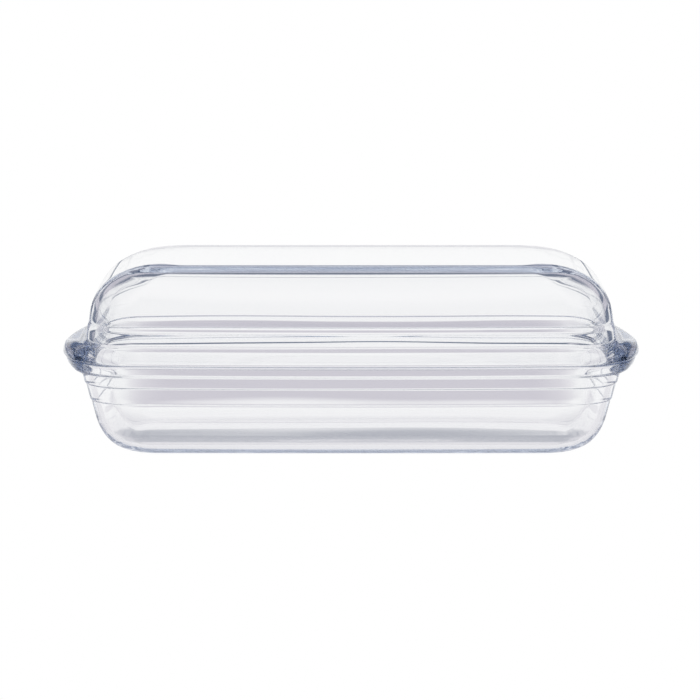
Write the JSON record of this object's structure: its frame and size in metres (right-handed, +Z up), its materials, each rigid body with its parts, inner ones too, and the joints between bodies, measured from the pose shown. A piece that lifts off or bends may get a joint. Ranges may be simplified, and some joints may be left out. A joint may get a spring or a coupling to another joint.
{
  "type": "covered glass loaf dish",
  "caption": "Clear pressed-glass loaf dish with a high domed glass lid, crescent lugs at both ends and mould steps along the walls.",
  "frame": {"origin": "middle of the dish's flat base, on the surface that it stands on", "axes": "+X along the dish's length, +Y across its width, +Z up through the lid"},
  "size_m": [0.3508, 0.1598, 0.114],
  "materials": {
    "clear_glass": "polished"
  },
  "bodies": {
    "dish": {"dish": "clear_glass"},
    "lid": {"lid": "clear_glass"}
  },
  "joints": [
    {"name": "lid_lift", "type": "slide", "parent": "dish", "child": "lid", "axis": [0, 0, 1], "range_m": [0, 0.15]}
  ]
}
